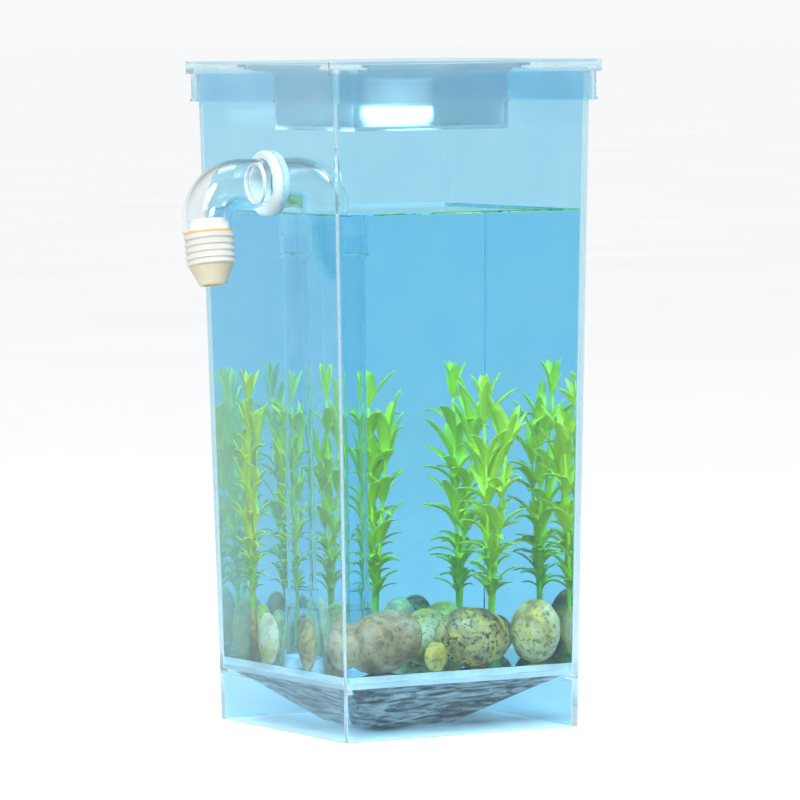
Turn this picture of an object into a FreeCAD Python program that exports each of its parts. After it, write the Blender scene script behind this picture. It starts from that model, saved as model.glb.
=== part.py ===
"""Self-cleaning desktop fish tank with a gravity siphon.

A clear tapered square tank stands on its own skirt.  Inside the skirt hangs a
truncated-pyramid funnel that collects sediment, covered by a slotted gravel
tray.  A clear siphon stands on the tray: bell foot, riser tube and an elbow
that goes out through a silicone grommet in the left wall.  Outside the wall a
second elbow swivels in the grommet and carries an ivory spout.  A clear lid
rests over the rim; a translucent pocket in its middle holds a round battery
light with a push button.  River stones and plastic plants stand on the tray.

Frame: millimetres, +Z up, -X towards the siphon outlet, -Y towards the front.
The source works from the tank's own axis; everything is written out shifted
along X so that the origin is the bottom centre of the whole object's box.
"""
import FreeCAD, Part
import math
import os

V = FreeCAD.Vector
os.makedirs("parts", exist_ok=True)

# ---------------------------------------------------------------- dimensions
HEIGHT = 252.0            # base of skirt to top of lid
HALF_BASE = 50.3          # half width of the tank at the base
DRAFT = 0.0190            # growth of the half width per mm of height
WALL = 2.2                # tank wall
EDGE_R = 2.2              # radius of the tank's upright edges
TANK_TOP = 247.4          # top of the tank wall, where the lid rests
LEDGE_Z = (17.6, 19.6)    # ledge inside the wall that carries the funnel
LEDGE_W = 1.8

FUNNEL_TOP = 46.2         # half width of the funnel below its flange
FUNNEL_BOTTOM = 19.0      # half width of the funnel's flat
FUNNEL_CX = -4.0          # the flat is a little nearer the siphon
FUNNEL_LOW = 1.0          # underside of the flat
FUNNEL_T = 1.8
FLANGE_Z = (19.6, 21.6)
FLANGE_HALF = 47.5

TRAY_Z = (21.6, 24.0)
TRAY_HALF = 47.8
SLOT_W = 2.2
SLOT_PITCH = 4.4

SIPHON_Z = 206.6          # height of the siphon's horizontal run
RISER_X = -30.0           # axis of the riser tube
OUTLET_X = -81.0          # axis of the spout
TUBE_R = 9.4              # outer radius of both elbows
OUTER_BORE = 8.1          # bore of the outer elbow
SPIGOT_R = 8.05           # spigots that run in that bore
BEND_OUT = 15.0            # centreline radius of the outer elbow
BEND_IN = 11.5            # and of the inner elbow
WALL_HOLE = 10.4
GROMMET_R = 12.3
GROMMET_BORE = 9.45
ELBOW_JOINT_X = -48.6     # inner end of the outer elbow
SPIGOT_END_X = -59.0
SOCKET_Z = (178.2, 186.8)
RISER_TOP_R, RISER_LOW_R = 8.05, 8.65
RISER_T = 1.15
RISER_Z = (46.5, 186.8)
FOOT_Z = (24.0, 54.0)
SWIVEL = -10.0            # the outlet's stored swivel, degrees about +X

SPOUT_TOP = 188.0
SPOUT_STEP = 176.4
SPOUT_LOW = 168.8
ELBOW_LOW = 188.8
SPOUT_BORE = 3.6

LID_HALF = 58.7
LID_Z = (247.4, 252.0)
LID_PLATE = 1.9
SKIRT_HALF = 57.0
SKIRT_T = 1.0
SKIRT_LOW = 236.7
POCKET_HX, POCKET_HY = 33.5, 30.0
POCKET_LOW = 226.0
POCKET_T = 1.5

PUCK_X = 1.5
PUCK_R = 13.5

LEFTMOST = OUTLET_X - TUBE_R - 0.35
SHIFT_X = -(LEFTMOST + LID_HALF) / 2     # 16.025


# ------------------------------------------------------------------- helpers
def half(z):
    """Outer half width of the tank at height z."""
    return HALF_BASE + DRAFT * z


def rrect(hx, hy, r, z, cx=0.0, cy=0.0):
    """Closed rounded rectangle in a level plane."""
    k = r * (1 - math.sqrt(0.5))
    x0, x1, y0, y1 = cx - hx, cx + hx, cy - hy, cy + hy
    e = [
        Part.LineSegment(V(x0 + r, y0, z), V(x1 - r, y0, z)),
        Part.Arc(V(x1 - r, y0, z), V(x1 - k, y0 + k, z), V(x1, y0 + r, z)),
        Part.LineSegment(V(x1, y0 + r, z), V(x1, y1 - r, z)),
        Part.Arc(V(x1, y1 - r, z), V(x1 - k, y1 - k, z), V(x1 - r, y1, z)),
        Part.LineSegment(V(x1 - r, y1, z), V(x0 + r, y1, z)),
        Part.Arc(V(x0 + r, y1, z), V(x0 + k, y1 - k, z), V(x0, y1 - r, z)),
        Part.LineSegment(V(x0, y1 - r, z), V(x0, y0 + r, z)),
        Part.Arc(V(x0, y0 + r, z), V(x0 + k, y0 + k, z), V(x0 + r, y0, z)),
    ]
    return Part.Wire([c.toShape() for c in e])


def frustum(h0, z0, h1, z1, r0, r1=None, cx0=0.0, cx1=0.0):
    """Solid between two rounded squares."""
    return Part.makeLoft([rrect(h0, h0, r0, z0, cx0), rrect(h1, h1, r1 or r0, z1, cx1)], True, True)


def block(hx, hy, r, z0, z1, cx=0.0, cy=0.0):
    """Upright prism on a rounded rectangle."""
    return Part.Face(rrect(hx, hy, r, z0, cx, cy)).extrude(V(0, 0, z1 - z0))


def lathe(points, axis_at=(0, 0), angle=360):
    """Turned solid about an upright axis; points are (radius, z)."""
    p = [V(r, 0, z) for r, z in points]
    s = Part.Face(Part.makePolygon(p + [p[0]])).revolve(V(0, 0, 0), V(0, 0, 1), angle)
    s.translate(V(axis_at[0], axis_at[1], 0))
    return s


def lathe_x(points, z):
    """Turned solid about a line along X at height z; points are (x, radius)."""
    p = [V(x, 0, r) for x, r in points]
    s = Part.Face(Part.makePolygon(p + [p[0]])).revolve(V(0, 0, 0), V(1, 0, 0), 360)
    s.translate(V(0, 0, z))
    return s


def cyl(r, z0, z1, x=0.0, y=0.0):
    return Part.makeCylinder(r, z1 - z0, V(x, y, z0), V(0, 0, 1))


def rod_x(r, x0, x1, z, y=0.0):
    return Part.makeCylinder(r, x1 - x0, V(x0, y, z), V(1, 0, 0))


def bend(r, x_up, z_up, side, radius):
    """Quarter torus from the horizontal run down into an upright leg at x_up.
    side is +1 when the horizontal run lies towards -X of the leg, -1 otherwise."""
    cx = x_up - side * radius
    circle = Part.Face(Part.Wire(Part.makeCircle(r, V(x_up, 0, z_up), V(0, 0, 1))))
    return circle.revolve(V(cx, 0, z_up), V(0, 1, 0), -90 * side)


def ellipsoid(cx, cy, cz, a, b, c, yaw, pitch=0.0, roll=0.0):
    """River stone: an ellipsoid turned about Z, Y and X."""
    m = FreeCAD.Matrix()
    m.scale(V(a, b, c))
    s = Part.makeSphere(1.0).transformGeometry(m)
    s.rotate(V(0, 0, 0), V(1, 0, 0), roll)
    s.rotate(V(0, 0, 0), V(0, 1, 0), pitch)
    s.rotate(V(0, 0, 0), V(0, 0, 1), yaw)
    s.translate(V(cx, cy, cz))
    return s


def out(name, shape):
    """Writes one sub-part; several separate solids make a group."""
    solids = shape.Solids
    shape = solids[0] if len(solids) == 1 else Part.makeCompound(solids)
    shape = shape.copy()
    shape.translate(V(SHIFT_X, 0, 0))
    shape.exportStep("parts/%s.step" % name)
    return shape


def swivelled(shape):
    """Turns a piece of the outlet to its stored swivel."""
    s = shape.copy()
    s.rotate(V(0, 0, SIPHON_Z), V(1, 0, 0), SWIVEL)
    return s


parts = {}

# ---------------------------------------------------------------- tank shell
outer = frustum(half(0), 0, half(TANK_TOP), TANK_TOP, EDGE_R)
inner = frustum(half(-2) - WALL, -2, half(TANK_TOP + 2) - WALL, TANK_TOP + 2, 0.9)
shell = outer.cut(inner)
ledge = frustum(half(LEDGE_Z[0]) - 1.0, LEDGE_Z[0], half(LEDGE_Z[1]) - 1.0, LEDGE_Z[1], 1.2)
ledge = ledge.cut(block(half(18) - WALL - LEDGE_W, half(18) - WALL - LEDGE_W, 1.0, 15, 22))
shell = shell.fuse(ledge)
shell = shell.cut(rod_x(WALL_HOLE, -60, -45, SIPHON_Z)).removeSplitter()
parts["tank_shell"] = shell

# ------------------------------------------------------------- funnel floor
ti = FUNNEL_T
f_out = frustum(FUNNEL_BOTTOM, FUNNEL_LOW, FUNNEL_TOP, FLANGE_Z[0], 5.0, 2.5, FUNNEL_CX, 0.0)
f_flange = block(FLANGE_HALF, FLANGE_HALF, 1.5, FLANGE_Z[0], FLANGE_Z[1])
f_in = frustum(FUNNEL_BOTTOM - 1.0, FUNNEL_LOW + ti, FUNNEL_TOP - 2.2, FLANGE_Z[0] + 0.01, 4.2, 2.0, FUNNEL_CX, 0.0)
f_mouth = block(FUNNEL_TOP - 2.2, FUNNEL_TOP - 2.2, 2.0, FLANGE_Z[0], FLANGE_Z[1] + 1)
parts["funnel_floor"] = f_out.fuse(f_flange).cut(f_in.fuse(f_mouth)).removeSplitter()

# silicone bead between the funnel's flange and the wall
b0, b1 = FLANGE_Z[0], FLANGE_Z[1] - 0.1
bead = frustum(half(b0) - WALL - 0.02, b0, half(b1) - WALL - 0.02, b1, 0.9)
parts["floor_seal"] = bead.cut(block(FLANGE_HALF, FLANGE_HALF, 1.5, b0 - 1, b1 + 1))

# -------------------------------------------------------------- gravel tray
tray = block(TRAY_HALF, TRAY_HALF, 1.5, TRAY_Z[0], TRAY_Z[1])
slots = []
n = int(42.0 // SLOT_PITCH)
for i in range(-n, n + 1):
    for y0, y1 in ((-42.5, -16.0), (-13.5, 13.5), (16.0, 42.5)):
        slots.append(block(SLOT_W / 2, (y1 - y0) / 2, SLOT_W / 2 - 0.01, TRAY_Z[0] - 1, TRAY_Z[1] + 1, i * SLOT_PITCH, (y0 + y1) / 2))
slots = Part.makeCompound(slots).cut(cyl(16.4, TRAY_Z[0] - 2, TRAY_Z[1] + 2, RISER_X))
tray = tray.fuse(cyl(11.8, TRAY_Z[1], TRAY_Z[1] + 3.4, RISER_X)).cut(slots)
tray = tray.cut(cyl(10.6, TRAY_Z[0] - 1, TRAY_Z[1] + 6, RISER_X))
parts["gravel_tray"] = tray.removeSplitter()

# ------------------------------------------------------------ siphon, inside
def elbow_solid(r, x_up, x_end, z_low, side, radius):
    """Upright leg, quarter bend and horizontal run in one solid."""
    lo, hi = sorted((x_up - side * radius, x_end))
    zs = SIPHON_Z - radius
    return cyl(r, z_low, zs, x_up).fuse(bend(r, x_up, zs, side, radius)).fuse(rod_x(r, lo, hi, SIPHON_Z))


in_out = elbow_solid(TUBE_R, RISER_X, ELBOW_JOINT_X, SOCKET_Z[0], 1, BEND_IN)
in_out = in_out.fuse(lathe([(0, SOCKET_Z[0]), (TUBE_R + 0.5, SOCKET_Z[0]), (TUBE_R + 0.5, SOCKET_Z[0] + 1.6), (TUBE_R, SOCKET_Z[0] + 2.1), (0, SOCKET_Z[0] + 2.1)], (RISER_X, 0)))
in_out = in_out.fuse(rod_x(SPIGOT_R, SPIGOT_END_X, ELBOW_JOINT_X, SIPHON_Z))
in_cut = elbow_solid(6.9, RISER_X, SPIGOT_END_X - 1, SOCKET_Z[0] - 1, 1, BEND_IN)
in_cut = in_cut.fuse(cyl(RISER_TOP_R + 0.1, SOCKET_Z[0] - 1, SOCKET_Z[1], RISER_X))
parts["inner_elbow"] = in_out.cut(in_cut).removeSplitter()

z0, z1 = RISER_Z
parts["riser_tube"] = lathe([(RISER_LOW_R - RISER_T, z0), (RISER_LOW_R, z0), (RISER_TOP_R, z1), (RISER_TOP_R - RISER_T, z1)], (RISER_X, 0))

parts["bell_foot"] = lathe(
    [(13.4, 24.0), (14.8, 24.0), (14.8, 25.2), (12.7, 31.0), (10.6, 42.0), (10.0, 49.0), (10.0, 53.4), (9.6, 54.0),
     (8.75, 54.0), (8.75, 46.5), (7.7, 46.5), (9.2, 41.0), (11.3, 31.0)], (RISER_X, 0))

# O-ring on the inner elbow's spigot end, in the outer elbow's bore
parts["spigot_ring"] = lathe_x([(SPIGOT_END_X - 1.0, 7.0), (SPIGOT_END_X - 1.0, 8.0), (SPIGOT_END_X, 8.0), (SPIGOT_END_X, 7.0)], SIPHON_Z)

# grommet in the wall hole, trimmed to the leaning wall
xo, xi = -half(SIPHON_Z), -half(SIPHON_Z) + WALL
g = lathe_x([(xo - 2.5, GROMMET_BORE), (xo - 2.5, GROMMET_R - 0.9), (xo - 1.9, GROMMET_R - 0.2), (xo - 1.2, GROMMET_R),
             (xo + 1.0, GROMMET_R), (xi - 1.0, GROMMET_R), (xi + 1.2, GROMMET_R), (xi + 1.9, GROMMET_R - 0.2), (xi + 2.5, GROMMET_R - 0.9), (xi + 2.5, GROMMET_BORE)], SIPHON_Z)
parts["wall_grommet"] = g.cut(shell).removeSplitter()

# ----------------------------------------------------------- siphon, outside
o_out = elbow_solid(TUBE_R, OUTLET_X, ELBOW_JOINT_X, ELBOW_LOW, -1, BEND_OUT)
o_out = o_out.fuse(cyl(TUBE_R + 0.35, ELBOW_LOW, ELBOW_LOW + 1.4, OUTLET_X))
o_cut = elbow_solid(OUTER_BORE, OUTLET_X, ELBOW_JOINT_X + 1, ELBOW_LOW - 1, -1, BEND_OUT)
parts["outer_elbow"] = swivelled(o_out.cut(o_cut).removeSplitter())

parts["spout_gasket"] = swivelled(lathe([(OUTER_BORE + 0.15, SPOUT_TOP + 0.05), (9.2, SPOUT_TOP + 0.05), (9.2, ELBOW_LOW), (OUTER_BORE + 0.15, ELBOW_LOW)], (OUTLET_X, 0)))

# ribbed collar: a spigot in the elbow's bore, five ribs on the outside
rib = []
z = SPOUT_TOP
rib.append((9.3, z))
for i in range(4):
    zt = SPOUT_TOP - 1.7 - 2.5 * i
    rib += [(9.3, zt), (8.75, zt - 0.3), (8.75, zt - 1.0), (9.3, zt - 1.3)]
rib += [(9.3, SPOUT_STEP + 0.4), (8.9, SPOUT_STEP)]
collar = lathe([(5.9, SPOUT_TOP + 5.2), (6.9, SPOUT_TOP + 5.2), (6.9, SPOUT_TOP + 3.6), (SPIGOT_R, SPOUT_TOP + 3.6), (SPIGOT_R, SPOUT_TOP)] + rib
               + [(7.2, SPOUT_STEP), (7.2, SPOUT_STEP + 5.6), (5.9, SPOUT_STEP + 5.6)], (OUTLET_X, 0))
parts["spout_collar"] = swivelled(collar)
parts["spout_cone"] = swivelled(lathe(
    [(5.7, SPOUT_STEP + 5.4), (7.15, SPOUT_STEP + 5.4), (7.15, SPOUT_STEP), (8.35, SPOUT_STEP), (8.35, SPOUT_STEP - 0.5), (5.2, SPOUT_LOW + 0.4), (4.8, SPOUT_LOW),
     (SPOUT_BORE, SPOUT_LOW), (SPOUT_BORE, SPOUT_LOW + 6.0), (5.7, SPOUT_STEP - 0.2)], (OUTLET_X, 0)))

# ---------------------------------------------------------------------- lid
plate = block(LID_HALF, LID_HALF, 3.0, LID_Z[0], LID_Z[1])
plate = plate.cut(block(LID_HALF - 2.0, LID_HALF - 2.0, 1.6, LID_Z[1] - 1.0, LID_Z[1] + 1))
plate = plate.cut(block(SKIRT_HALF - 3.2, SKIRT_HALF - 3.2, 1.0, LID_Z[0] - 1, LID_Z[1] - 1.0 - LID_PLATE))
rim_ring = block(POCKET_HX + 5.5, POCKET_HY + 5.5, 2.0, LID_Z[0] + 0.3, LID_Z[1] - 1.5)
plate = plate.fuse(rim_ring)
plate = plate.cut(block(POCKET_HX + 0.35, POCKET_HY + 0.35, 1.4, LID_Z[0] - 1, LID_Z[1] + 1))
plate = plate.cut(block(POCKET_HX + 3.3, POCKET_HY + 3.3, 2.0, LID_Z[1] - 2.2, LID_Z[1] + 1))
skirt = block(SKIRT_HALF, SKIRT_HALF, 2.6, SKIRT_LOW, LID_Z[0] + 0.5).cut(block(SKIRT_HALF - SKIRT_T, SKIRT_HALF - SKIRT_T, 2.4, SKIRT_LOW - 1, LID_Z[0]))
skirt = skirt.cut(block(SKIRT_HALF - 3.2, SKIRT_HALF - 3.2, 1.0, SKIRT_LOW - 1, LID_Z[1]))
bead2 = block(SKIRT_HALF + 0.45, SKIRT_HALF + 0.45, 2.8, SKIRT_LOW, SKIRT_LOW + 1.1).cut(block(SKIRT_HALF - SKIRT_T, SKIRT_HALF - SKIRT_T, 2.4, SKIRT_LOW - 1, SKIRT_LOW + 2))
parts["lid_frame"] = plate.fuse(skirt).fuse(bead2).removeSplitter()

p_out = block(POCKET_HX, POCKET_HY, 1.3, POCKET_LOW, LID_Z[1] - 1.0)
p_fl = block(POCKET_HX + 3.0, POCKET_HY + 3.0, 1.9, LID_Z[1] - 2.2, LID_Z[1] - 1.0)
p_in = block(POCKET_HX - POCKET_T, POCKET_HY - POCKET_T, 1.0, POCKET_LOW + POCKET_T, LID_Z[1])
seat = lathe([(PUCK_R + 0.4, POCKET_LOW + POCKET_T), (PUCK_R + 1.6, POCKET_LOW + POCKET_T), (PUCK_R + 1.6, POCKET_LOW + POCKET_T + 3.2), (PUCK_R + 0.4, POCKET_LOW + POCKET_T + 3.2)], (PUCK_X, 0))
parts["light_pocket"] = p_out.fuse(p_fl).cut(p_in).fuse(seat).removeSplitter()

# --------------------------------------------------------------- round light
zf = POCKET_LOW + POCKET_T           # pocket floor, the light stands on it
A = (PUCK_X, 0)
parts["light_lens"] = lathe([(0, zf), (11.6, zf), (13.3, zf + 1.6), (13.3, zf + 6.9), (12.0, zf + 6.9), (12.0, zf + 2.2), (11.1, zf + 1.3), (0, zf + 1.3)], A)
parts["light_body"] = lathe([(12.3, zf + 6.9), (13.5, zf + 6.9), (13.5, zf + 15.6), (13.0, zf + 16.1), (12.3, zf + 16.1), (12.3, zf + 9.2), (10.9, zf + 9.2), (10.9, zf + 8.4), (12.3, zf + 8.4)], A)
parts["circuit_board"] = cyl(11.9, zf + 7.2, zf + 8.2, PUCK_X)
led = lathe([(0, zf + 3.6), (0.9, zf + 3.8), (1.8, zf + 4.4), (2.4, zf + 5.4), (2.4, zf + 6.6), (2.9, zf + 6.6), (2.9, zf + 7.2), (0, zf + 7.2)], A)
parts["led"] = led
parts["coin_cell"] = lathe([(0, zf + 9.4), (9.0, zf + 9.4), (9.0, zf + 9.9), (10.0, zf + 9.9), (10.0, zf + 12.4), (9.6, zf + 12.6), (0, zf + 12.6)], A)
leaf = Part.makeBox(19.0, 3.0, 0.3, V(PUCK_X - 8.0, -1.5, zf + 12.9)).fuse(Part.makeBox(0.4, 3.0, 4.0, V(PUCK_X + 11.0, -1.5, zf + 9.2)))
leaf = leaf.fuse(Part.makeBox(0.6, 3.0, 0.3, V(PUCK_X + 10.8, -1.5, zf + 12.9)))
parts["contact_leaf"] = leaf.removeSplitter()
parts["battery_cap"] = lathe([(4.8, zf + 15.0), (5.9, zf + 15.0), (5.9, zf + 14.2), (11.8, zf + 14.2), (12.2, zf + 14.6), (12.2, zf + 16.2), (13.5, zf + 16.2), (13.5, zf + 16.6), (12.9, zf + 17.2), (4.8, zf + 17.2)], A)
grip = [Part.makeBox(1.2, 3.4, 2.0, V(PUCK_X + 8.4, -1.7, zf + 16.7)), Part.makeBox(1.2, 3.4, 2.0, V(PUCK_X - 9.6, -1.7, zf + 16.7))]
cap = parts["battery_cap"]
for gbox in grip:
    cap = cap.cut(gbox)
parts["battery_cap"] = cap
parts["push_button"] = lathe([(0, zf + 14.5), (5.3, zf + 14.5), (5.3, zf + 14.9), (4.5, zf + 14.9), (4.5, zf + 18.4), (4.0, zf + 18.9), (0, zf + 19.1)], A)

# ------------------------------------------------------------------- stones
ZT = TRAY_Z[1]
STONES = {
    # name: (x, y, half length, half width, half height, yaw, pitch, roll)
    "stone_front_large": (-28.6, -34.8, 18.4, 11.4, 12.6, 8, -8, 0),
    "stone_front_grey": (10.0, -34.8, 16.8, 11.4, 12.2, -5, 6, 0),
    "stone_front_yellow": (-9.4, -43.6, 5.4, 4.0, 6.0, 16, 0, 0),
    "stone_right_round": (37.6, -34.6, 10.2, 12.0, 13.0, 16, 0, 0),
    "stone_right_brown": (42.6, -11.2, 5.0, 9.0, 9.4, 0, 0, 0),
    "stone_left_white": (-43.9, 15.2, 4.0, 8.6, 10.4, 0, 0, 0),
    "stone_left_cream": (-43.4, -14.8, 4.6, 7.2, 10.8, -6, 0, 0),
    "stone_left_dark": (-44.6, 26.6, 3.2, 2.8, 11.0, 0, 0, 0),
    "stone_back_olive": (-20.2, 41.0, 8.6, 6.0, 11.0, 0, 0, 0),
    "stone_mid_cream": (-0.5, -11.6, 12.6, 10.2, 11.6, 10, 0, 0),
    "stone_mid_pale": (-3.4, 11.4, 8.4, 8.0, 13.4, -20, 0, 0),
    "stone_back_grey": (14.4, 38.4, 8.6, 9.0, 12.6, 0, 0, 0),
    "stone_back_pale": (-3.2, 41.6, 7.4, 6.0, 9.6, 0, 0, 0),
    "stone_right_pale": (16.6, 13.2, 9.6, 10.4, 12.0, 12, 0, 0),
    "stone_mid_small": (19.6, -13.4, 6.2, 6.2, 10.0, 0, 0, 0),
    "stone_right_dark": (41.0, 14.4, 6.8, 6.2, 8.4, 0, 0, 0),
}
floor_cut = Part.makeBox(200, 200, 40, V(-100, -100, ZT - 40))
for name, (sx, sy, a, b, c, yaw, pitch, roll) in STONES.items():
    s = ellipsoid(sx, sy, ZT + c * 0.93, a, b, c, yaw, pitch, roll).cut(floor_cut)
    parts[name] = s

# ------------------------------------------------------------------- plants
PLANTS = {
    # name: (x, y, top of foliage, foliage radius)
    "left": (-35.0, 35.3, 136.0, 12.4),
    "tube": (-8.0, 26.0, 136.0, 14.0),
    "middle": (30.6, 30.6, 138.0, 16.6),
    "right": (31.0, -3.2, 134.0, 16.2),
}
for name, (px, py, top, r) in PLANTS.items():
    base = lathe([(0, ZT), (4.6, ZT), (5.0, ZT + 0.8), (4.2, ZT + 4.0), (0, ZT + 4.6)], (px, py))
    parts["plant_%s_base" % name] = base
    z0 = ZT + 4.6
    fol = lathe([(0, z0), (2.2, z0), (2.6, z0 + 12), (r * 0.75, z0 + 26), (r, z0 + 44), (r, top - 16), (r * 0.86, top - 3), (r * 0.7, top), (0, top)], (px, py))
    parts["plant_%s_foliage" % name] = fol

for name in sorted(parts):
    s = parts[name]
    if not s.isValid() or not s.Solids or s.Volume <= 0:
        print("BAD", name, s.isValid(), len(s.Solids), s.Volume)
    out(name, s)
print("wrote", len(parts), "sub-parts")
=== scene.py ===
"""Looks for the self-cleaning desktop fish tank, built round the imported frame."""
import bpy
import bmesh
import math
import random
from mathutils import Matrix, Vector, noise


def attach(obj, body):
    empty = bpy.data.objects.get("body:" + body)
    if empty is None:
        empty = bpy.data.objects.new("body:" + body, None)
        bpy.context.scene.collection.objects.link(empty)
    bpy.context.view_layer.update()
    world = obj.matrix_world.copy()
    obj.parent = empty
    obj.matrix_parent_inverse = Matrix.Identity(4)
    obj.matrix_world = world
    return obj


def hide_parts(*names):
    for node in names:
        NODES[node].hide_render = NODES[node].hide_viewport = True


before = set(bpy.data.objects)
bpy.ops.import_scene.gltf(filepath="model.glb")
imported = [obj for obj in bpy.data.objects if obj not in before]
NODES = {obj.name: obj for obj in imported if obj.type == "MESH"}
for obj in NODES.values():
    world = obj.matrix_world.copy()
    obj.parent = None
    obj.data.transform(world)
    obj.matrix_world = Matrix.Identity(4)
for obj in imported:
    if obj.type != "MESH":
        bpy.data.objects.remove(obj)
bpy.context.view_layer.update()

MM = 0.001
SHIFT = 16.025          # the tank's own axis in the frame, mm
ZT = 24.0               # top of the gravel tray, mm
WATER_TOP = 196.0


def P(x, y, z):
    """Millimetres about the tank's axis to frame metres."""
    return Vector(((x + SHIFT) * MM, y * MM, z * MM))


def half(z):
    return 50.3 + 0.0190 * z


# ------------------------------------------------------------------ materials
def new_mat(name):
    m = bpy.data.materials.new(name)
    m.use_nodes = True
    nt = m.node_tree
    nt.nodes.clear()
    out = nt.nodes.new("ShaderNodeOutputMaterial")
    b = nt.nodes.new("ShaderNodeBsdfPrincipled")
    nt.links.new(b.outputs[0], out.inputs[0])
    return m, nt, b, out


def coords(nt, scale=(1, 1, 1)):
    tc = nt.nodes.new("ShaderNodeTexCoord")
    mp = nt.nodes.new("ShaderNodeMapping")
    mp.inputs["Scale"].default_value = scale
    nt.links.new(tc.outputs["Object"], mp.inputs["Vector"])
    return mp.outputs["Vector"]


def noise_tex(nt, vec, scale, detail=3.0, rough=0.5, dist=0.0):
    n = nt.nodes.new("ShaderNodeTexNoise")
    n.inputs["Scale"].default_value = scale
    n.inputs["Detail"].default_value = detail
    n.inputs["Roughness"].default_value = rough
    n.inputs["Distortion"].default_value = dist
    nt.links.new(vec, n.inputs["Vector"])
    return n.outputs["Fac"]


def ramp(nt, fac, stops, interp="LINEAR"):
    r = nt.nodes.new("ShaderNodeValToRGB")
    r.color_ramp.interpolation = interp
    els = r.color_ramp.elements
    while len(els) < len(stops):
        els.new(0.5)
    for e, (p, c) in zip(els, stops):
        e.position = p
        e.color = c if len(c) == 4 else (*c, 1)
    nt.links.new(fac, r.inputs["Fac"])
    return r.outputs["Color"]


def span(nt, fac, lo, hi):
    r = nt.nodes.new("ShaderNodeMapRange")
    r.inputs["To Min"].default_value = lo
    r.inputs["To Max"].default_value = hi
    nt.links.new(fac, r.inputs["Value"])
    return r.outputs["Result"]


def mix_rgb(nt, fac, a, b, mode="MIX"):
    m = nt.nodes.new("ShaderNodeMix")
    m.data_type = "RGBA"
    m.blend_type = mode
    if isinstance(fac, float):
        m.inputs[0].default_value = fac
    else:
        nt.links.new(fac, m.inputs[0])
    for sock, v in ((m.inputs[6], a), (m.inputs[7], b)):
        if isinstance(v, tuple):
            sock.default_value = (*v, 1)
        else:
            nt.links.new(v, sock)
    return m.outputs[2]


def bump(nt, bsdf, height, strength, distance):
    b = nt.nodes.new("ShaderNodeBump")
    b.inputs["Strength"].default_value = strength
    b.inputs["Distance"].default_value = distance
    nt.links.new(height, b.inputs["Height"])
    nt.links.new(b.outputs["Normal"], bsdf.inputs["Normal"])
    return b


def let_lamps_through(nt, bsdf, out, color):
    """Clear plastic throws no full shadow: lamp light goes straight through."""
    lp = nt.nodes.new("ShaderNodeLightPath")
    tr = nt.nodes.new("ShaderNodeBsdfTransparent")
    tr.inputs["Color"].default_value = (*color, 1)
    mx = nt.nodes.new("ShaderNodeMixShader")
    nt.links.new(lp.outputs["Is Shadow Ray"], mx.inputs["Fac"])
    nt.links.new(bsdf.outputs[0], mx.inputs[1])
    nt.links.new(tr.outputs[0], mx.inputs[2])
    nt.links.new(mx.outputs[0], out.inputs[0])


def clear(name, tint, tint2, ior=1.49, rough=(0.015, 0.05), wave=0.15, lamp=(0.93, 0.96, 0.98), transmission=1.0, scale=40.0, spec=0.5):
    """Clear moulded plastic: faint flow lines, small changes of tint and gloss."""
    m, nt, b, out = new_mat(name)
    v = coords(nt)
    n = noise_tex(nt, v, scale, 4.0, 0.55)
    col = ramp(nt, n, [(0.3, tint), (0.7, tint2)])
    nt.links.new(col, b.inputs["Base Color"])
    fine = noise_tex(nt, coords(nt, (1, 1, 0.35)), 260.0, 2.0, 0.5)
    nt.links.new(span(nt, fine, rough[0], rough[1]), b.inputs["Roughness"])
    b.inputs["Transmission Weight"].default_value = transmission
    b.inputs["IOR"].default_value = ior
    b.inputs["Specular IOR Level"].default_value = spec
    flow = noise_tex(nt, coords(nt, (1, 1, 0.3)), 30.0, 1.0, 0.4)
    bump(nt, b, flow, wave, 0.0006)
    let_lamps_through(nt, b, out, lamp)
    return m


def plastic(name, c1, c2, rough=(0.3, 0.45), grain=900.0, strength=0.08, scale=60.0):
    """Opaque moulded plastic with a fine grain and slight cloudiness."""
    m, nt, b, out = new_mat(name)
    v = coords(nt)
    n = noise_tex(nt, v, scale, 4.0, 0.6)
    nt.links.new(ramp(nt, n, [(0.3, c1), (0.72, c2)]), b.inputs["Base Color"])
    g = noise_tex(nt, v, grain, 2.0, 0.6)
    nt.links.new(span(nt, g, rough[0], rough[1]), b.inputs["Roughness"])
    bump(nt, b, g, strength, 0.0002)
    return m


MAT = {}
MAT["tank"] = clear("clear_tank", (0.56, 0.83, 0.94), (0.61, 0.86, 0.955), ior=1.36, wave=0.05, spec=0.15)
MAT["lid"] = clear("clear_lid", (0.60, 0.82, 0.91), (0.76, 0.91, 0.96), wave=0.10, rough=(0.02, 0.06), transmission=0.98)
MAT["elbow"] = clear("clear_elbow", (0.93, 0.97, 0.985), (0.98, 1.0, 1.0), wave=0.12)
MAT["wet"] = clear("clear_wet", (0.80, 0.90, 0.94), (0.91, 0.97, 0.99), ior=1.34, wave=0.08, spec=0.5)
MAT["pocket"] = clear("smoky_pocket", (0.70, 0.76, 0.80), (0.80, 0.86, 0.89), rough=(0.10, 0.22), wave=0.10, lamp=(0.7, 0.78, 0.82))
MAT["tray"] = clear("cloudy_tray", (0.74, 0.88, 0.95), (0.93, 0.98, 1.0), rough=(0.12, 0.3), wave=0.2, transmission=0.55, scale=120.0)


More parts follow.
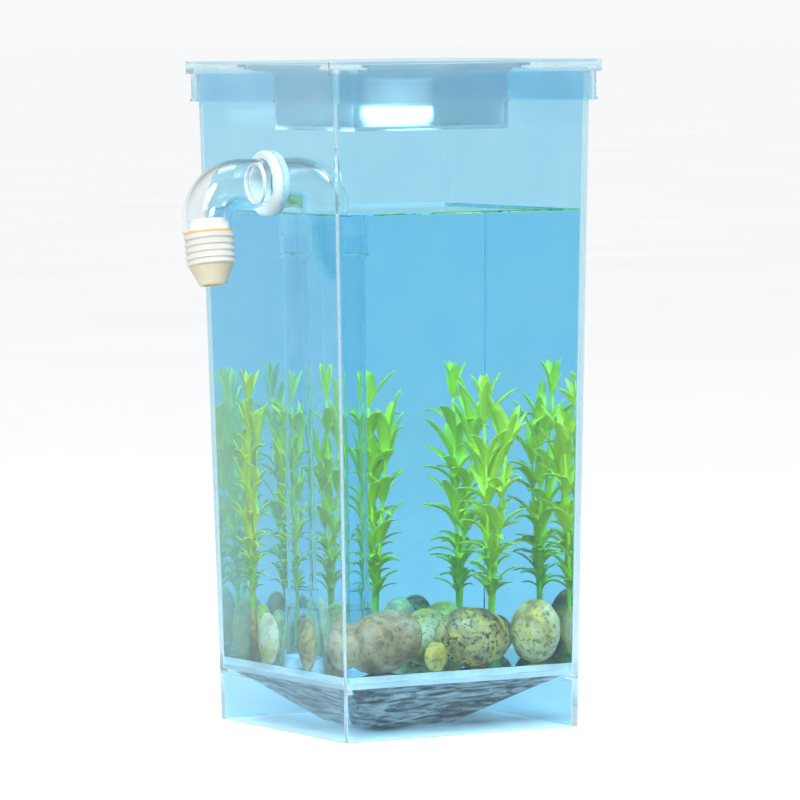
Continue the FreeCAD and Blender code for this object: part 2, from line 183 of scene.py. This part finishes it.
def funnel_mat():
    """Clear floor moulded in fine steps: level streaks of grey, white and clear. The near-black and white streaks in
    the base colour are painted reflections, painted highlights and painted shade of the steps, not the plastic's own
    colour.
    """
    m, nt, b, out = new_mat("ribbed_funnel")
    v = coords(nt)
    wob = noise_tex(nt, coords(nt, (1, 1, 3)), 30.0, 4.0, 0.6, 2.2)
    streak = noise_tex(nt, coords(nt, (1, 1, 6)), 34.0, 6.0, 0.66, 2.4)
    w = nt.nodes.new("ShaderNodeTexWave")
    w.wave_type = "BANDS"
    w.bands_direction = "Z"
    w.inputs["Scale"].default_value = 120.0
    w.inputs["Distortion"].default_value = 9.0
    w.inputs["Detail"].default_value = 3.0
    w.inputs["Detail Scale"].default_value = 0.5
    nt.links.new(v, w.inputs["Vector"])
    # painted reflections and highlights: near-black to white streaks, mixed with level bands, stand in for the light
    # and shade the fine steps throw; the same mask also drives the bump
    painted_streak_mask = mix_rgb(nt, 0.28, ramp(nt, streak, [(0.41, (0, 0, 0)), (0.59, (1, 1, 1))]), w.outputs["Color"])
    nt.links.new(ramp(nt, painted_streak_mask, [(0.16, (0.03, 0.035, 0.04)), (0.36, (0.20, 0.22, 0.24)), (0.56, (0.55, 0.60, 0.63)), (0.78, (0.97, 0.98, 1.0))]), b.inputs["Base Color"])
    nt.links.new(span(nt, wob, 0.35, 0.75), b.inputs["Transmission Weight"])
    b.inputs["IOR"].default_value = 1.45
    nt.links.new(span(nt, wob, 0.04, 0.18), b.inputs["Roughness"])
    bump(nt, b, painted_streak_mask, 0.9, 0.0012)
    let_lamps_through(nt, b, out, (0.85, 0.9, 0.93))
    return m


MAT["funnel"] = funnel_mat()


def silicone_mat():
    m, nt, b, out = new_mat("silicone_milky")
    v = coords(nt)
    n = noise_tex(nt, v, 120.0, 4.0, 0.6)
    nt.links.new(ramp(nt, n, [(0.3, (0.80, 0.88, 0.92)), (0.7, (0.93, 0.97, 0.98))]), b.inputs["Base Color"])
    b.inputs["Transmission Weight"].default_value = 0.45
    b.inputs["IOR"].default_value = 1.41
    nt.links.new(span(nt, n, 0.28, 0.45), b.inputs["Roughness"])
    b.inputs["Subsurface Weight"].default_value = 0.15
    b.inputs["Subsurface Radius"].default_value = (0.002, 0.002, 0.002)
    bump(nt, b, noise_tex(nt, v, 700.0, 2.0, 0.5), 0.1, 0.0002)
    let_lamps_through(nt, b, out, (0.55, 0.6, 0.62))
    return m


MAT["silicone"] = silicone_mat()
MAT["collar"] = plastic("ivory_collar", (0.56, 0.55, 0.51), (0.68, 0.67, 0.63), rough=(0.32, 0.48), strength=0.12)
MAT["ivory"] = plastic("ivory_plastic", (0.52, 0.49, 0.35), (0.62, 0.59, 0.44), rough=(0.32, 0.48), strength=0.12)
MAT["amber"] = plastic("amber_rubber", (0.62, 0.30, 0.09), (0.80, 0.45, 0.16), rough=(0.4, 0.6))
MAT["white"] = plastic("white_plastic", (0.80, 0.83, 0.85), (0.90, 0.92, 0.93), rough=(0.3, 0.42))
MAT["button"] = plastic("button_plastic", (0.38, 0.44, 0.48), (0.5, 0.56, 0.6), rough=(0.4, 0.55))
MAT["board"] = plastic("board_mask", (0.04, 0.18, 0.08), (0.07, 0.26, 0.12), rough=(0.3, 0.4))
MAT["foot"] = plastic("plant_foot", (0.07, 0.18, 0.03), (0.14, 0.27, 0.05), rough=(0.4, 0.6))


def steel_mat(name, c1, c2, rough):
    m, nt, b, out = new_mat(name)
    v = coords(nt, (1, 14, 1))
    n = noise_tex(nt, v, 300.0, 3.0, 0.6)
    nt.links.new(ramp(nt, n, [(0.3, c1), (0.7, c2)]), b.inputs["Base Color"])
    b.inputs["Metallic"].default_value = 1.0
    nt.links.new(span(nt, n, rough, rough + 0.15), b.inputs["Roughness"])
    bump(nt, b, n, 0.05, 0.0001)
    return m


MAT["cell"] = steel_mat("cell_steel", (0.60, 0.61, 0.62), (0.74, 0.75, 0.76), 0.22)
MAT["contact"] = steel_mat("contact_nickel", (0.62, 0.60, 0.54), (0.76, 0.74, 0.68), 0.25)


def lens_mat():
    m, nt, b, out = new_mat("milky_lens")
    v = coords(nt)
    n = noise_tex(nt, v, 90.0, 3.0, 0.5)
    nt.links.new(ramp(nt, n, [(0.3, (0.86, 0.93, 0.96)), (0.7, (0.95, 0.98, 1.0))]), b.inputs["Base Color"])
    b.inputs["Transmission Weight"].default_value = 0.55
    nt.links.new(span(nt, n, 0.2, 0.35), b.inputs["Roughness"])
    # painted glow: the lens's own emission stands in for the LED's light shining through the milky plastic
    b.inputs["Emission Color"].default_value = (0.85, 0.95, 1.0, 1)
    b.inputs["Emission Strength"].default_value = 1.3
    let_lamps_through(nt, b, out, (0.8, 0.85, 0.88))
    return m


MAT["lens"] = lens_mat()


def led_mat():
    m, nt, b, out = new_mat("led_glow")
    v = coords(nt)
    n = noise_tex(nt, v, 400.0, 2.0, 0.5)
    nt.links.new(ramp(nt, n, [(0.3, (0.85, 0.93, 1.0)), (0.7, (1.0, 1.0, 1.0))]), b.inputs["Base Color"])
    b.inputs["Emission Color"].default_value = (0.88, 0.95, 1.0, 1)
    b.inputs["Emission Strength"].default_value = 9.0
    nt.links.new(span(nt, n, 0.2, 0.4), b.inputs["Roughness"])
    return m


MAT["led"] = led_mat()


def stone_mat(name, dark, mid, light, spot, seed, speck=0.5):
    """Water-worn pebble: cloudy base colour, stains, fine specks and pits."""
    m, nt, b, out = new_mat(name)
    v = coords(nt)
    mp = nt.nodes.new("ShaderNodeMapping")
    mp.inputs["Location"].default_value = (seed * 0.37, seed * 0.11, seed * 0.23)
    nt.links.new(v, mp.inputs["Vector"])
    v = mp.outputs["Vector"]
    cloud = noise_tex(nt, v, 55.0, 6.0, 0.6, 0.6)
    base = ramp(nt, cloud, [(0.38, dark), (0.49, mid), (0.61, light)])
    stain = noise_tex(nt, v, 90.0, 4.0, 0.65, 1.2)
    stain_f = ramp(nt, stain, [(0.50, (0, 0, 0)), (0.60, (1, 1, 1))])
    c = mix_rgb(nt, stain_f, base, spot)
    vo = nt.nodes.new("ShaderNodeTexVoronoi")
    vo.inputs["Scale"].default_value = 900.0
    nt.links.new(v, vo.inputs["Vector"])
    sp = noise_tex(nt, v, 520.0, 3.0, 0.7)
    spf = ramp(nt, sp, [(0.53, (0, 0, 0)), (0.61, (speck, speck, speck))])
    c = mix_rgb(nt, spf, c, tuple(0.45 * x for x in dark))
    nt.links.new(c, b.inputs["Base Color"])
    nt.links.new(span(nt, stain, 0.32, 0.62), b.inputs["Roughness"])
    h = mix_rgb(nt, 0.5, ramp(nt, sp, [(0.3, (0, 0, 0)), (0.7, (1, 1, 1))]), ramp(nt, stain, [(0.2, (0, 0, 0)), (0.8, (1, 1, 1))]))
    bump(nt, b, h, 0.35, 0.0005)
    return m


STONE_MAT = {
    "rose": stone_mat("stone_rose", (0.15, 0.07, 0.03), (0.47, 0.28, 0.15), (0.72, 0.56, 0.36), (0.55, 0.32, 0.13), 1, 0.5),
    "mottled": stone_mat("stone_mottled", (0.03, 0.022, 0.01), (0.22, 0.15, 0.05), (0.56, 0.44, 0.16), (0.68, 0.48, 0.05), 2, 0.95),
    "yellow": stone_mat("stone_yellow", (0.28, 0.18, 0.03), (0.60, 0.46, 0.08), (0.80, 0.68, 0.24), (0.74, 0.54, 0.05), 3, 0.6),
    "cream": stone_mat("stone_cream", (0.18, 0.12, 0.04), (0.52, 0.39, 0.13), (0.78, 0.66, 0.34), (0.74, 0.50, 0.04), 4, 0.7),
    "white": stone_mat("stone_white", (0.42, 0.33, 0.16), (0.72, 0.64, 0.42), (0.86, 0.81, 0.64), (0.76, 0.58, 0.12), 5, 0.4),
    "brown": stone_mat("stone_brown", (0.03, 0.02, 0.012), (0.13, 0.085, 0.04), (0.32, 0.23, 0.10), (0.38, 0.26, 0.06), 6, 0.7),
}


def leaf_mat():
    m, nt, b, out = new_mat("leaf_green")
    v = coords(nt)
    tc = nt.nodes.new("ShaderNodeSeparateXYZ")
    nt.links.new(v, tc.inputs[0])
    hr = nt.nodes.new("ShaderNodeMapRange")
    hr.inputs["From Min"].default_value = 0.030
    hr.inputs["From Max"].default_value = 0.125
    nt.links.new(tc.outputs["Z"], hr.inputs["Value"])
    n = noise_tex(nt, v, 150.0, 4.0, 0.6)
    add = nt.nodes.new("ShaderNodeMath")
    add.operation = "MULTIPLY_ADD"
    nt.links.new(n, add.inputs[0])
    add.inputs[1].default_value = 0.7
    nt.links.new(hr.outputs["Result"], add.inputs[2])
    sub = nt.nodes.new("ShaderNodeMath")
    sub.operation = "SUBTRACT"
    nt.links.new(add.outputs[0], sub.inputs[0])
    sub.inputs[1].default_value = 0.35
    col = ramp(nt, sub.outputs[0], [(0.0, (0.12, 0.46, 0.04)), (0.25, (0.50, 0.72, 0.03)), (0.5, (0.95, 0.88, 0.02)), (1.0, (0.97, 0.93, 0.05))])
    nt.links.new(col, b.inputs["Base Color"])
    nt.links.new(span(nt, n, 0.25, 0.45), b.inputs["Roughness"])
    b.inputs["Subsurface Weight"].default_value = 0.25
    b.inputs["Subsurface Radius"].default_value = (0.001, 0.002, 0.0006)
    bump(nt, b, noise_tex(nt, coords(nt, (1, 1, 0.2)), 900.0, 2.0, 0.5), 0.2, 0.0002)
    return m


MAT["leaf"] = leaf_mat()


def water_mat():
    m, nt, b, out = new_mat("water_blue")
    v = coords(nt)
    n = noise_tex(nt, v, 14.0, 2.0, 0.5)
    nt.links.new(ramp(nt, n, [(0.3, (0.90, 0.97, 0.99)), (0.7, (0.93, 0.98, 0.995))]), b.inputs["Base Color"])
    b.inputs["Transmission Weight"].default_value = 1.0
    b.inputs["IOR"].default_value = 1.33
    b.inputs["Specular IOR Level"].default_value = 0.1
    nt.links.new(span(nt, n, 0.0, 0.01), b.inputs["Roughness"])
    let_lamps_through(nt, b, out, (0.97, 0.99, 1.0))
    ab = nt.nodes.new("ShaderNodeVolumeAbsorption")
    ab.inputs["Color"].default_value = (0.05, 0.74, 0.93, 1)
    ab.inputs["Density"].default_value = 7.0
    nt.links.new(ab.outputs[0], out.inputs["Volume"])
    return m


MAT["water"] = water_mat()


def floor_mat():
    m, nt, b, out = new_mat("stage_floor")
    v = coords(nt)
    n = noise_tex(nt, v, 3.0, 3.0, 0.5)
    nt.links.new(ramp(nt, n, [(0.3, (0.87, 0.875, 0.88)), (0.7, (0.90, 0.905, 0.91))]), b.inputs["Base Color"])
    b.inputs["Roughness"].default_value = 0.6
    return m


def dress(node, mat, smooth=True):
    o = NODES[node]
    o.data.materials.clear()
    o.data.materials.append(mat)
    return o


for node, key in {
    "tank_shell": "tank", "floor_seal": "silicone", "gravel_tray": "tray", "funnel_floor": "funnel",
    "inner_elbow": "elbow", "riser_tube": "wet", "bell_foot": "wet", "spigot_ring": "silicone",
    "wall_grommet": "silicone", "outer_elbow": "elbow", "spout_gasket": "amber", "spout_collar": "collar", "spout_cone": "ivory",
    "lid_frame": "lid", "light_pocket": "pocket", "light_lens": "lens", "light_body": "white", "circuit_board": "board",
    "led": "led", "coin_cell": "cell", "contact_leaf": "contact", "battery_cap": "white", "push_button": "button",
    "plant_left_base": "foot", "plant_tube_base": "foot", "plant_middle_base": "foot", "plant_right_base": "foot",
}.items():
    dress(node, MAT[key])


# --------------------------------------------------------------------- meshes
def add_mesh(name, verts, faces, mat, smooth=True):
    me = bpy.data.meshes.new(name)
    me.from_pydata([tuple(v) for v in verts], [], faces)
    me.update()
    if smooth:
        for p in me.polygons:
            p.use_smooth = True
    o = bpy.data.objects.new(name, me)
    bpy.context.scene.collection.objects.link(o)
    me.materials.append(mat)
    return o


STONES = {
    "stone_front_large": (-28.6, -34.8, 18.4, 11.4, 12.6, 8, -8, "rose"),
    "stone_front_grey": (10.0, -34.8, 16.8, 11.4, 12.2, -5, 6, "mottled"),
    "stone_front_yellow": (-9.4, -43.6, 5.4, 4.0, 6.0, 16, 0, "yellow"),
    "stone_right_round": (37.6, -34.6, 10.2, 12.0, 13.0, 16, 0, "cream"),
    "stone_right_brown": (42.6, -11.2, 5.0, 9.0, 9.4, 0, 0, "brown"),
    "stone_left_white": (-43.9, 15.2, 4.0, 8.6, 10.4, 0, 0, "white"),
    "stone_left_cream": (-43.4, -14.8, 4.6, 7.2, 10.8, -6, 0, "cream"),
    "stone_left_dark": (-44.6, 26.6, 3.2, 2.8, 11.0, 0, 0, "brown"),
    "stone_back_olive": (-20.2, 41.0, 8.6, 6.0, 11.0, 0, 0, "yellow"),
    "stone_mid_cream": (-0.5, -11.6, 12.6, 10.2, 11.6, 10, 0, "cream"),
    "stone_mid_pale": (-3.4, 11.4, 8.4, 8.0, 13.4, -20, 0, "white"),
    "stone_back_grey": (14.4, 38.4, 8.6, 9.0, 12.6, 0, 0, "mottled"),
    "stone_back_pale": (-3.2, 41.6, 7.4, 6.0, 9.6, 0, 0, "white"),
    "stone_right_pale": (16.6, 13.2, 9.6, 10.4, 12.0, 12, 0, "yellow"),
    "stone_mid_small": (19.6, -13.4, 6.2, 6.2, 10.0, 0, 0, "mottled"),
    "stone_right_dark": (41.0, 14.4, 6.8, 6.2, 8.4, 0, 0, "brown"),
}
for i, (name, (x, y, a, b, c, yaw, pitch, key)) in enumerate(STONES.items()):
    bm = bmesh.new()
    bmesh.ops.create_icosphere(bm, subdivisions=5, radius=1.0)
    rot = Matrix.Rotation(math.radians(yaw), 3, "Z") @ Matrix.Rotation(math.radians(pitch), 3, "Y")
    cz = ZT + c * 0.93
    for v in bm.verts:
        d = v.co.copy()
        w = noise.noise(d * 1.1 + Vector((7.3 * i, 1.7 * i, 0))) * 0.5 + 0.5
        f = noise.noise(d * 2.6 + Vector((0, 3.1 * i, 5.0 * i))) * 0.5 + 0.5
        g = noise.noise(d * 9.0 + Vector((i, 0, 2.0 * i))) * 0.5 + 0.5
        k = 1.0 - 0.085 * w - 0.035 * f - 0.008 * g
        p = rot @ Vector((d.x * a * k, d.y * b * k, d.z * c * k))
        z = max(cz + p.z, ZT + 0.05)
        v.co = P(x + p.x, y + p.y, z)
    me = bpy.data.meshes.new(name + "_look")
    bm.to_mesh(me)
    bm.free()
    for q in me.polygons:
        q.use_smooth = True
    o = bpy.data.objects.new(name + "_look", me)
    bpy.context.scene.collection.objects.link(o)
    me.materials.append(STONE_MAT[key])
    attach(o, "tank")
    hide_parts(name)


# --------------------------------------------------------------------- plants
def tube(verts, faces, path, radii, sides=8):
    """Closed round stem along a path."""
    rings = []
    for k, p in enumerate(path):
        t = (path[min(k + 1, len(path) - 1)] - path[max(k - 1, 0)]).normalized()
        u = t.orthogonal().normalized() if abs(t.z) < 0.2 else t.cross(Vector((1, 0, 0))).normalized()
        w = t.cross(u)
        ring = []
        for s in range(sides):
            an = 2 * math.pi * s / sides
            ring.append(len(verts))
            verts.append(p + (u * math.cos(an) + w * math.sin(an)) * radii[k])
        rings.append(ring)
    for r0, r1 in zip(rings, rings[1:]):
        for s in range(sides):
            faces.append((r0[s], r0[(s + 1) % sides], r1[(s + 1) % sides], r1[s]))
    faces.append(tuple(reversed(rings[0])))
    faces.append(tuple(rings[-1]))


def leaf(verts, faces, root, heading, rise, length, width, curl, thick=0.00032):
    """One lanceolate leaf: a closed thin blade with a folded midrib that arches."""
    n = 10
    side = Vector((-math.sin(heading), math.cos(heading), 0))
    out_dir = Vector((math.cos(heading), math.sin(heading), 0))
    p = root.copy()
    ang = rise
    top, bot = [], []
    for k in range(n + 1):
        t = k / n
        prof = 0.22 + 0.78 * math.sin(math.pi * min(1.0, t * 1.02)) ** 0.8 if t < 0.5 else max(0.0, math.sin(math.pi * min(1.0, t))) ** 0.55
        w = max(width * prof, width * 0.05) * 0.5
        d = out_dir * math.cos(ang) + Vector((0, 0, math.sin(ang)))
        nrm = Vector((0, 0, math.cos(ang))) - out_dir * math.sin(ang)
        lift = nrm * (w * 0.35)
        row_t = [p - side * w + lift, p + nrm * thick * 0.5, p + side * w + lift]
        row_b = [p - side * w + lift - nrm * thick, p - nrm * thick * 0.9, p + side * w + lift - nrm * thick]
        top.append([len(verts) + j for j in range(3)])
        verts.extend(row_t)
        bot.append([len(verts) + j for j in range(3)])
        verts.extend(row_b)
        p = p + d * (length / n)
        ang += curl / n
    for k in range(n):
        for j in range(2):
            faces.append((top[k][j], top[k + 1][j], top[k + 1][j + 1], top[k][j + 1]))
            faces.append((bot[k][j + 1], bot[k + 1][j + 1], bot[k + 1][j], bot[k][j]))
        faces.append((top[k][0], bot[k][0], bot[k + 1][0], top[k + 1][0]))
        faces.append((top[k][2], top[k + 1][2], bot[k + 1][2], bot[k][2]))
    for k, flip in ((0, False), (n, True)):
        f1 = (top[k][0], top[k][1], bot[k][1], bot[k][0])
        f2 = (top[k][1], top[k][2], bot[k][2], bot[k][1])
        for f in (f1, f2):
            faces.append(tuple(reversed(f)) if flip else f)


PLANTS = {
    "left": (-35.0, 35.3, 136.0, 12.4),
    "tube": (-8.0, 26.0, 136.0, 14.0),
    "middle": (30.6, 30.6, 138.0, 16.6),
    "right": (31.0, -3.2, 134.0, 16.2),
}


def envelope(z, top, r):
    """Radius of the plant's CAD solid at height z, mm."""
    z0 = ZT + 4.6
    pts = [(z0, 2.2), (z0 + 12, 2.6), (z0 + 26, r * 0.75), (z0 + 44, r), (top - 16, r), (top - 3, r * 0.86), (top, r * 0.7)]
    if z <= z0:
        return 2.2
    for (za, ra), (zb, rb) in zip(pts, pts[1:]):
        if z <= zb:
            return ra + (rb - ra) * (z - za) / (zb - za)
    return 0.0


for pi, (name, (px, py, top, r)) in enumerate(PLANTS.items()):
    rnd = random.Random(40 + pi)
    verts, faces = [], []
    z0 = ZT + 4.0
    stems = []
    for s in range(3):
        az = math.radians(205) + 2 * math.pi * s / 3 + rnd.uniform(-0.3, 0.3)
        reach = (0.16, 0.42, 0.50)[s] * r
        tip = top - (15.0, 30.0, 42.0)[s]
        path = []
        for k in range(17):
            t = k / 16
            z = z0 + (tip - z0) * t
            bend = reach * (t ** 1.3)
            wob = 0.7 * math.sin(5.0 * t + 2.0 * s)
            lim = max(0.0, envelope(z, top, r) - 1.0)
            bend = min(bend, lim)
            path.append(Vector((px + math.cos(az) * bend + wob * 0.3, py + math.sin(az) * bend + wob * 0.3, z)))
        stems.append(path)
        tube(verts, faces, [P(*p) for p in path], [(1.05 - 0.45 * k / 16) * MM for k in range(17)])
    for s, path in enumerate(stems):
        zb, zt = path[0].z, path[-1].z
        z = zb + 19.0 + 3.5 * s
        while z < zt + 0.01:
            t = min((z - zb) / (zt - zb), 1.0)
            i0 = min(int(t * 16), 15)
            c = path[i0].lerp(path[i0 + 1], t * 16 - i0)
            low = z < zb + 38
            n = 5 if low else 4
            phase = rnd.uniform(0, 2 * math.pi)
            crown = z + 9.0 > zt
            for q in range(n):
                hd = phase + 2 * math.pi * q / n + rnd.uniform(-0.22, 0.22)
                rise = math.radians(rnd.uniform(52, 78))
                want = rnd.uniform(17.0, 28.0) if not low else rnd.uniform(11.0, 17.0)
                wid = rnd.uniform(3.6, 5.4) if not low else rnd.uniform(2.2, 3.4)
                curl = -rnd.uniform(0.9, 2.1)
                if crown:
                    rise, curl = math.radians(rnd.uniform(58, 80)), -rnd.uniform(0.1, 0.7)
                # shorten the blade until it stays inside the plant's solid
                for _ in range(16):
                    pp = Vector(c)
                    ang = rise
                    ok = True
                    for k in range(10):
                        pp = pp + Vector((math.cos(hd) * math.cos(ang), math.sin(hd) * math.cos(ang), math.sin(ang))) * (want / 10)
                        ang += curl / 10
                        if pp.z > top - 0.5 or math.hypot(pp.x - px, pp.y - py) + 0.8 > envelope(min(pp.z, top), top, r):
                            ok = False
                            break
                    if ok:
                        break
                    want *= 0.92
                    curl *= 0.9
                    rise = min(rise + 0.03, 1.45)
                if want > 4.0:
                    leaf(verts, faces, P(*c), hd, rise, want * MM, min(wid, want * 0.34) * MM, curl)
            step = (9.0 if low else 15.0) + rnd.uniform(-1.8, 2.6)
            z = zt if z < zt - 0.01 and z + step > zt else z + step
    o = add_mesh("plant_%s_leaves" % name, verts, faces, MAT["leaf"])
    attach(o, "plant_" + name)
    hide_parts("plant_%s_foliage" % name)


# ---------------------------------------------------------------------- water
def square_ring(h, z, r=1.2, n=5):
    pts = []
    for cx, cy, a0 in ((h - r, h - r, 0), (-h + r, h - r, 90), (-h + r, -h + r, 180), (h - r, -h + r, 270)):
        for k in range(n + 1):
            an = math.radians(a0 + 90 * k / n)
            pts.append(P(cx + r * math.cos(an), cy + r * math.sin(an), z))
    return pts


def water():
    levels = []
    zs = [ZT + 0.15, ZT + 0.6] + [ZT + 6 + (WATER_TOP - 1.4 - ZT - 6) * k / 12 for k in range(13)] + [WATER_TOP - 0.9, WATER_TOP - 0.45, WATER_TOP - 0.1]
    for z in zs:
        h = half(z) - 2.2 - 0.2
        levels.append(square_ring(h, z))
    # the surface: a small meniscus climbs the wall, the middle lies lower
    levels.append(square_ring(half(WATER_TOP) - 2.2 - 0.45, WATER_TOP - 0.35))
    levels.append(square_ring(half(WATER_TOP) - 2.2 - 1.2, WATER_TOP - 0.8))
    levels.append(square_ring(half(WATER_TOP) - 2.2 - 3.0, WATER_TOP - 1.0))
    verts = [p for ring in levels for p in ring]
    m = len(levels[0])
    faces = [tuple(reversed(range(m)))]
    for k in range(len(levels) - 1):
        for s in range(m):
            faces.append((k * m + s, k * m + (s + 1) % m, (k + 1) * m + (s + 1) % m, (k + 1) * m + s))
    faces.append(tuple(range((len(levels) - 1) * m, len(levels) * m)))
    o = add_mesh("water_fill", verts, faces, MAT["water"], smooth=False)
    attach(o, "tank")


water()

# ---------------------------------------------------------------------- stage
fl = bpy.data.meshes.new("stage_floor")
S = 60.0
fl.from_pydata([(-S, -S, -0.0004), (S, -S, -0.0004), (S, S, -0.0004), (-S, S, -0.0004)], [], [(0, 1, 2, 3)])
floor = bpy.data.objects.new("stage_floor", fl)
bpy.context.scene.collection.objects.link(floor)
fl.materials.append(floor_mat())

world = bpy.data.worlds.new("studio")
bpy.context.scene.world = world
world.use_nodes = True
wt = world.node_tree
bg = wt.nodes["Background"]
wc = wt.nodes.new("ShaderNodeTexCoord")
wz = wt.nodes.new("ShaderNodeSeparateXYZ")
wt.links.new(wc.outputs["Generated"], wz.inputs[0])
wr = wt.nodes.new("ShaderNodeValToRGB")
wr.color_ramp.elements[0].position = 0.0
wr.color_ramp.elements[0].color = (0.945, 0.95, 0.955, 1)
wr.color_ramp.elements[1].position = 0.5
wr.color_ramp.elements[1].color = (0.42, 0.43, 0.44, 1)
mid = wr.color_ramp.elements.new(0.10)
mid.color = (0.88, 0.885, 0.89, 1)
wt.links.new(wz.outputs["Z"], wr.inputs["Fac"])
wt.links.new(wr.outputs["Color"], bg.inputs["Color"])
bg.inputs["Strength"].default_value = 1.0


def area(name, loc, target, size, power, color=(1, 1, 1)):
    li = bpy.data.lights.new(name, "AREA")
    li.shape = "RECTANGLE"
    li.size, li.size_y = size
    li.energy = power
    li.color = color
    o = bpy.data.objects.new(name, li)
    o.location = loc
    o.rotation_euler = (Vector(target) - Vector(loc)).to_track_quat("-Z", "Y").to_euler()
    bpy.context.scene.collection.objects.link(o)
    return o


area("key", (-0.9, -1.0, 1.3), (0.016, 0, 0.12), (0.7, 0.7), 6)
area("fill", (1.3, -0.7, 0.7), (0.016, 0, 0.12), (0.6, 0.8), 2)
area("top", (0.1, 0.2, 1.4), (0.016, 0, 0.1), (0.5, 0.5), 3)

sun = bpy.data.lights.new("sun", "SUN")
sun.energy = 2.6
sun.angle = math.radians(25)
sun_o = bpy.data.objects.new("sun", sun)
sun_o.rotation_euler = (Vector((0, 0, 0)) - Vector((-0.5, -0.75, 1.1))).to_track_quat("-Z", "Y").to_euler()
bpy.context.scene.collection.objects.link(sun_o)

# --------------------------------------------------------------------- camera
az, pitch, roll = math.radians(-29.52), math.radians(3.59), math.radians(-0.56)
F_PX, DIST, TX, TZ, CX = 6323.0, 2402.0, 2.6, 123.0, 402.0
back = Vector((math.sin(az) * math.cos(pitch), -math.cos(az) * math.cos(pitch), math.sin(pitch)))
eye = Vector((TX * math.cos(az) + SHIFT, TX * math.sin(az), TZ)) + back * DIST
right = (-back).cross(Vector((0, 0, 1))).normalized()
up = right.cross(-back).normalized()
r2 = right * math.cos(roll) + up * math.sin(roll)
u2 = -right * math.sin(roll) + up * math.cos(roll)
cam_data = bpy.data.cameras.new("camera")
cam_data.lens = F_PX * 36.0 / 800.0
cam_data.sensor_width = 36.0
cam_data.shift_x = -(CX - 400.0) / 800.0
cam_data.clip_start = 0.05
cam_data.clip_end = 40.0
cam = bpy.data.objects.new("camera", cam_data)
m = Matrix((r2, u2, back)).transposed().to_4x4()
m.translation = eye * MM
cam.matrix_world = m
bpy.context.scene.collection.objects.link(cam)
bpy.context.scene.camera = cam

sc = bpy.context.scene
sc.cycles.max_bounces = 64
sc.cycles.transmission_bounces = 64
sc.cycles.transparent_max_bounces = 48
sc.cycles.glossy_bounces = 64
sc.cycles.diffuse_bounces = 4
sc.view_settings.view_transform = "Standard"
